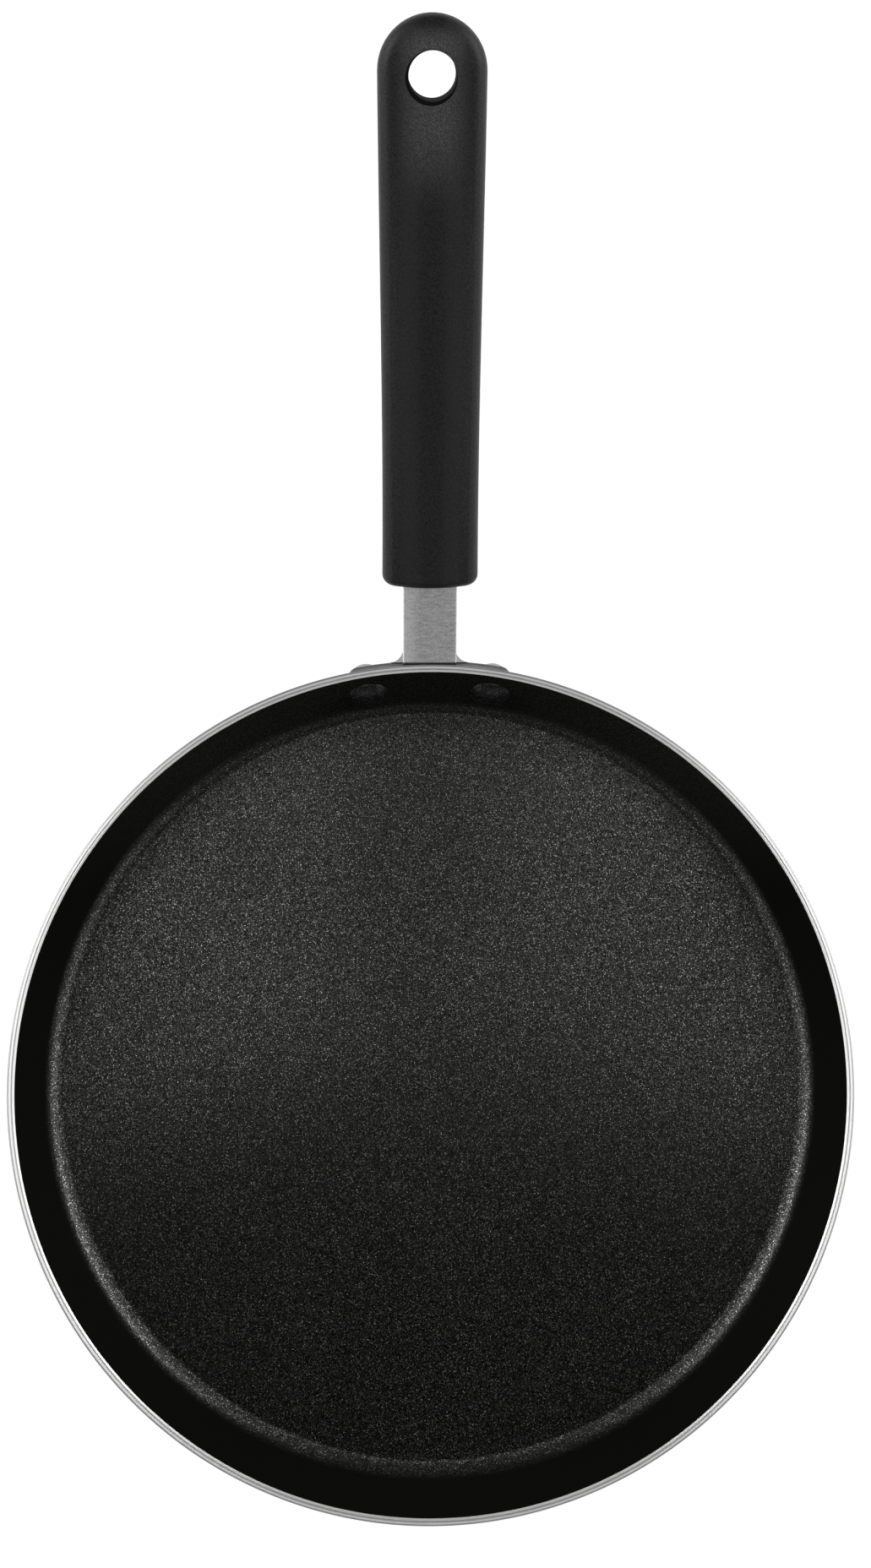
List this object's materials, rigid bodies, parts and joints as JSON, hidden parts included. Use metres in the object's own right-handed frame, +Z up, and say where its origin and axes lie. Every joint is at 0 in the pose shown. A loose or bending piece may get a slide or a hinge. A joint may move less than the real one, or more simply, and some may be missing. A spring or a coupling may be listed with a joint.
{
  "type": "crepe pan",
  "caption": "Shallow round aluminium crepe pan with a flared wall, black non-stick inside, riveted cast bracket and a black moulded handle with a hang hole.",
  "frame": {"origin": "centre of the flat underside of the pan's base, on the pan's axis", "axes": "+Z up out of the open pan, +Y along the handle's direction away from the pan, +X to the right seen with the handle pointing away"},
  "size_m": [0.24, 0.3982, 0.1035],
  "materials": {
    "pan_metal": "turned satin",
    "coating": "black non-stick film with fine sparkling flecks on the floor and a smooth wall",
    "cast_metal": "bead-blasted casting",
    "rivet_metal": "bare, satin",
    "grip_black": "fine-grained matte black moulding",
    "screw_steel": "plain zinc-plated"
  },
  "bodies": {
    "root": {"pan_body": "pan_metal", "nonstick_coating": "coating", "handle_bracket": "cast_metal", "rivets": "rivet_metal", "grip": "grip_black", "grip_screw": "screw_steel"}
  },
  "joints": []
}
